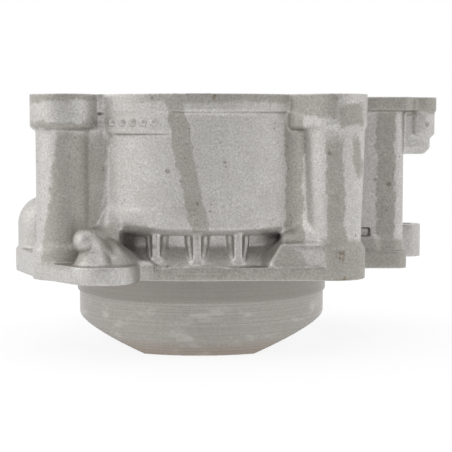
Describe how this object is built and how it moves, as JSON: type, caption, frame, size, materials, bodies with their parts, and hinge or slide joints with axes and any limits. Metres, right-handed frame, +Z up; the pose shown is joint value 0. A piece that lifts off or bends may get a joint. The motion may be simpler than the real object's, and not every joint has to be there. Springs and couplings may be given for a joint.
{
  "type": "engine cylinder",
  "caption": "One-piece cast aluminium cylinder of a liquid-cooled single, with plated bore, coolant jacket, stud columns, chain tunnel and spigot skirt",
  "frame": {"origin": "on the bore axis at the base gasket face", "axes": "+Z up the bore towards the head, +X towards the cam-chain tunnel, -Y the exhaust side"},
  "size_m": [0.1733, 0.1452, 0.1005],
  "materials": {
    "cast_aluminium": "shot-blasted die casting with machined joint faces and a plated, honed bore"
  },
  "bodies": {
    "root": {"cylinder": "cast_aluminium"}
  },
  "joints": []
}
